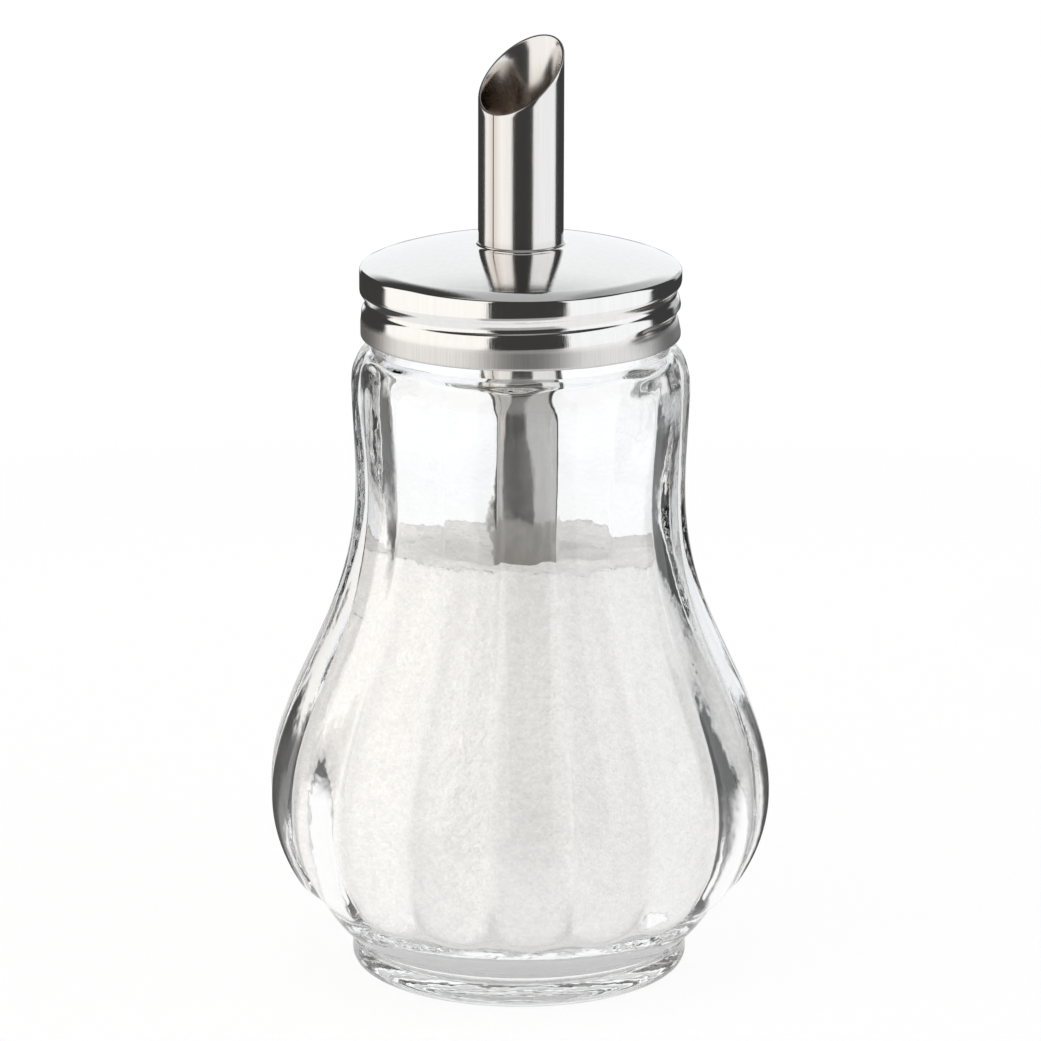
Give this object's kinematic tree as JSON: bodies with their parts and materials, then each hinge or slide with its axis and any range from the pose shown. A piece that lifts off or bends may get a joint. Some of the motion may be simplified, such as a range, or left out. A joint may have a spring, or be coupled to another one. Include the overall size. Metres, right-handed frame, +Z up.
{
  "type": "sugar dispenser with flap",
  "caption": "Ribbed pear-shaped glass jar with a steel screw cap, a slanted spout tube, a dosing tube and a gravity flap inside the spout.",
  "frame": {"origin": "centre of the foot ring's resting face", "axes": "+Z up along the jar's axis, -Y towards the front as pictured, +X to the right"},
  "size_m": [0.0766, 0.077, 0.144],
  "materials": {
    "jar_glass": "clear",
    "seal": "matte",
    "cap_steel": "satin",
    "tube_steel": "polished",
    "inner_steel": "satin",
    "flap_steel": "satin"
  },
  "bodies": {
    "jar": {"glass_jar": "jar_glass"},
    "seal": {"seal_ring": "seal"},
    "cap": {"cap_shell": "cap_steel", "tube_collar": "inner_steel", "spout_tube": "tube_steel", "dosing_tube": "tube_steel", "flap_seat": "inner_steel", "flap_pin": "inner_steel"},
    "flap": {"flap": "flap_steel"}
  },
  "joints": [
    {"name": "cap_rise", "type": "slide", "parent": "jar", "child": "seal", "axis": [0, 0, 1], "range_m": [0, 0.0043]},
    {"name": "cap_turn", "type": "hinge", "parent": "seal", "child": "cap", "pos_m": [0, 0, 0.11], "axis": [0, 0, 1], "range_deg": [0, 450]},
    {"name": "flap_swing", "type": "hinge", "parent": "cap", "child": "flap", "pos_m": [0.00283, 0.00337, 0.12935], "axis": [-0.766, 0.6428, 0], "range_deg": [0, 70]}
  ],
  "couplings": [
    {"joint": "cap_rise", "follows": "cap_turn", "m_per_rad": 0.00054113}
  ]
}
